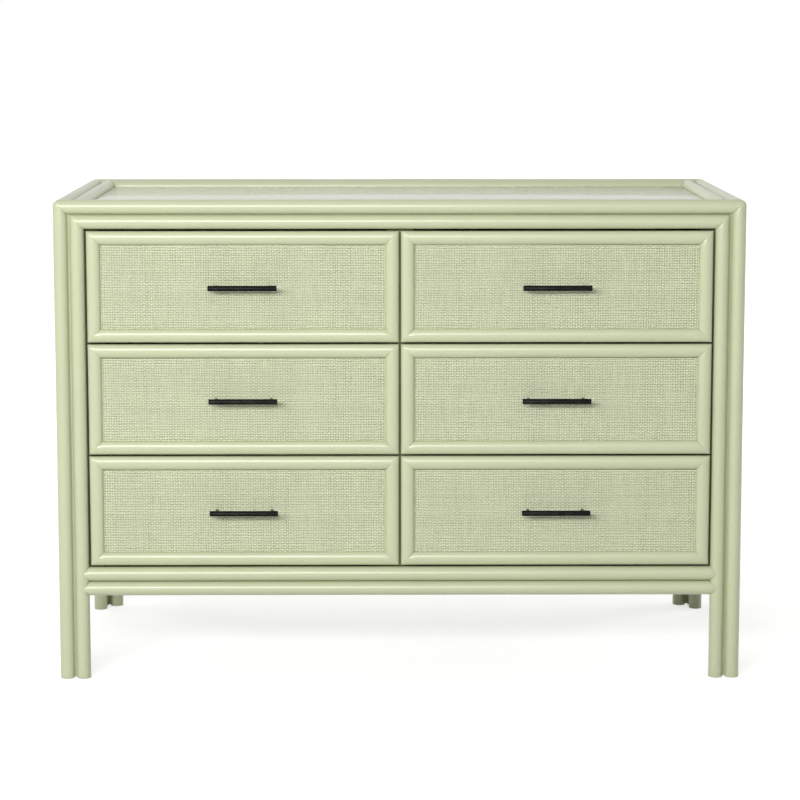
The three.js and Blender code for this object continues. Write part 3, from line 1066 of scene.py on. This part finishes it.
def handle():
    """A bar with a turned groove near each end, on two posts."""
    axis_y = HANDLE_LOW.y + BAR_RADIUS
    centre = Vector((FRONT_MIDDLE.x, axis_y, FRONT_MIDDLE.z))
    length = HANDLE_HIGH.x - HANDLE_LOW.x
    bar = rod("handle", "x", centre, BAR_RADIUS, length, 40)

    def grooves(_):
        for side in (-1, 1):
            for inset in (CAP, CAP + CAP_GROOVE):
                bpy.ops.mesh.select_all(action="SELECT")
                place = centre + Vector((side * (length / 2 - inset), 0, 0))
                bpy.ops.mesh.bisect(plane_co=place, plane_no=(1, 0, 0))
            groove_x = centre.x + side * (length / 2 - CAP - CAP_GROOVE / 2)

            def in_groove(face):
                return abs(face.calc_center_median().x - groove_x) < CAP_GROOVE / 3

            pick("FACE", in_groove)
            bpy.ops.mesh.extrude_region_shrink_fatten(
                TRANSFORM_OT_shrink_fatten={"value": -CAP_GROOVE_DEPTH, "use_even_offset": True}
            )

    shape(bar, grooves)
    shape(bar, soften(0.5 * MM, 3, 60))
    wall = WEAVE_LOW.y + POST_REACH
    for side in (-1, 1):
        place = Vector((centre.x + side * POST_X, (axis_y + wall) / 2, centre.z))
        post = rod("post", "y", place, POST_RADIUS, wall - axis_y, 28)
        shape(post, soften(0.4 * MM, 2, 60))
        combine(bar, post, "UNION")
    return smooth(bar, 40)


def handle_screws():
    """The two pan heads inside the drawer that hold its pull."""
    heads = []
    for side in (-1, 1):
        centre = Vector((FRONT_MIDDLE.x + side * POST_X, BOX_LOW.y + WALL, FRONT_MIDDLE.z))
        head = start(
            bpy.ops.mesh.primitive_uv_sphere_add,
            "handle_screws",
            segments=24,
            ring_count=12,
            radius=SCREW_HEAD,
            location=centre,
            rotation=TURNS["y"],
        )
        settle(head)
        crown = (1, SCREW_CROWN, 1)
        shape(
            head,
            lambda _: bpy.ops.transform.resize(value=crown, center_override=centre),
            cut(centre, Vector((0, -1, 0))),
        )
        for turn in (0, math.pi / 2):
            slot = start(
                bpy.ops.mesh.primitive_cube_add,
                "slot",
                size=1,
                location=centre + Vector((0, SCREW_HEAD * SCREW_CROWN, 0)),
                rotation=(0, turn, 0),
            )
            slot.scale = SCREW_SLOT
            combine(head, settle(slot), "DIFFERENCE")
        heads.append(head)
    deselect()
    for head in heads:
        head.select_set(True)
    bpy.context.view_layer.objects.active = heads[0]
    bpy.ops.object.join()
    return smooth(heads[0], 40)


# ------------------------------------------------------------------ the six drawers


def drawer_patterns():
    """Each piece of a drawer by name, with its material, its slot and the node it stands for."""
    made = {}
    for key, piece in mouldings().items():
        axis = "x" if key in ("moulding_top", "moulding_bottom") else "z"
        made[key] = (piece, POLE_PAINT[axis], "painted_rattan", "front")
    made["board"] = (front_board(), BOARD_PAINT, "painted_rattan", "front")
    made["weave"] = (weave(), CANE_PAINT, "woven_cane", "weave")
    for key, piece in drawer_box().items():
        axis = "y" if key in ("box_left", "box_right") else "x"
        made[key] = (piece, WOOD[axis], "drawer_wood", "box")
    made["handle"] = (handle(), BLACK, "black_metal", "handle")
    made["handle_screws"] = (handle_screws(), STEEL, "black_metal", None)
    return made


patterns = drawer_patterns()
for drawer, _ in DRAWERS:
    move = Matrix.Translation(middle(drawer + "_front") - FRONT_MIDDLE)
    for key, (pattern, finish, slot, node) in patterns.items():
        piece = twin(pattern, f"{drawer}_{key}_made", move)
        finish_piece(piece, finish, drawer, slot, *([f"{drawer}_{node}"] if node else []))
for pattern, *_ in patterns.values():
    bpy.data.objects.remove(pattern)

# ------------------------------------------------------------------ floor, light and camera


FLOOR_COLOUR = (0.58, 0.58, 0.57, 1)
FLOOR_LIFT = 0.64  # how far the floor is lifted towards white, near the dresser
FLOOR_NEAR, FLOOR_FAR = 1.0, 3.0  # between these distances the lift rises to full white
AMBIENT = 0.24
LENS = 105.3
SHIFT = -0.12
CAMERA_PLACE = (-0.028, -4.281, 1.160)
CAMERA_TILT, CAMERA_PAN = 7.0, 0.4


def background_ray(tree):
    """1 for a ray that shows the background: from the camera, a reflection or through glass."""
    ray = tree.nodes.new("ShaderNodeLightPath").outputs
    seen = ray["Is Camera Ray"]
    for label in ("Is Glossy Ray", "Is Transmission Ray"):
        both = add_node(tree, "ShaderNodeMath", {0: seen, 1: ray[label]}, operation="MAXIMUM")
        seen = both.outputs[0]
    return seen


def stage_floor():
    """A pale floor that goes over into white, and keeps the dresser's shadow."""
    floor = start(bpy.ops.mesh.primitive_plane_add, "floor", size=60, location=(0, 0, 0))
    made = bpy.data.materials.new("pale_floor")
    made.use_nodes = True
    tree = made.node_tree
    shader = tree.nodes["Principled BSDF"]
    shader.inputs["Base Color"].default_value = FLOOR_COLOUR
    shader.inputs["Roughness"].default_value = 0.9
    seen = background_ray(tree)
    place = tree.nodes.new("ShaderNodeTexCoord").outputs["Object"]
    reach = add_node(tree, "ShaderNodeVectorMath", {0: place}, operation="LENGTH").outputs["Value"]
    lift = add_node(
        tree,
        "ShaderNodeMapRange",
        {0: reach, 1: FLOOR_NEAR, 2: FLOOR_FAR, 3: FLOOR_LIFT, 4: 1.0},
        interpolation_type="SMOOTHSTEP",
    ).outputs[0]
    amount = add_node(tree, "ShaderNodeMath", {0: seen, 1: lift}, operation="MULTIPLY")
    glow = add_node(tree, "ShaderNodeEmission", {"Strength": amount.outputs[0]})
    both = add_node(tree, "ShaderNodeAddShader", {0: shader.outputs[0], 1: glow.outputs[0]})
    feed(tree, tree.nodes["Material Output"].inputs["Surface"], both.outputs[0])
    floor.data.materials.append(made)


def surroundings():
    """A white world that lights the dresser only a little."""
    world = bpy.data.worlds.new("studio")
    bpy.context.scene.world = world
    world.use_nodes = True
    tree = world.node_tree
    background = tree.nodes["Background"]
    spread = {0: background_ray(tree), 3: AMBIENT, 4: 1.0}
    strength = add_node(tree, "ShaderNodeMapRange", spread)
    background.inputs["Color"].default_value = (1, 1, 1, 1)
    feed(tree, background.inputs["Strength"], strength.outputs[0])


def look(thing, way):
    """Turns a lamp or the camera to face a way."""
    thing.rotation_mode = "QUATERNION"
    thing.rotation_quaternion = way.to_track_quat("-Z", "Y")


def lamp(name, place, aim, width, height, power, reflected=False):
    data = bpy.data.lights.new(name, "AREA")
    data.shape = "RECTANGLE"
    data.size, data.size_y = width, height
    data.energy = power
    made = bpy.data.objects.new(name, data)
    bpy.context.scene.collection.objects.link(made)
    made.location = place
    made.visible_glossy = reflected
    look(made, Vector(aim) - Vector(place))


def camera():
    data = bpy.data.cameras.new("camera")
    data.sensor_width = 36
    data.lens = LENS
    data.shift_y = SHIFT
    made = bpy.data.objects.new("camera", data)
    bpy.context.scene.collection.objects.link(made)
    made.location = CAMERA_PLACE
    tilt, pan = math.radians(CAMERA_TILT), math.radians(CAMERA_PAN)
    level = math.cos(tilt)
    look(made, Vector((math.sin(pan) * level, math.cos(pan) * level, -math.sin(tilt))))
    bpy.context.scene.camera = made


stage_floor()
surroundings()
lamp("wide_front", (-1.1, -3.6, 1.8), (0, 0, 0.45), 3.0, 0.6, 133, reflected=True)
lamp("overhead", (-0.4, -0.2, 3.4), (0, 0, 0.4), 2.0, 1.4, 8)
lamp("rear_fill", (-1.4, 4.0, 1.6), (0, 0, 0.4), 3.0, 1.2, 52)
lamp("right_fill", (3.8, 1.4, 1.8), (0, 0, 0.4), 2.0, 1.4, 45)
lamp("left_fill", (-3.8, 1.4, 1.8), (0, 0, 0.4), 2.0, 1.4, 30)
camera()

bpy.context.scene.view_settings.view_transform = "Standard"
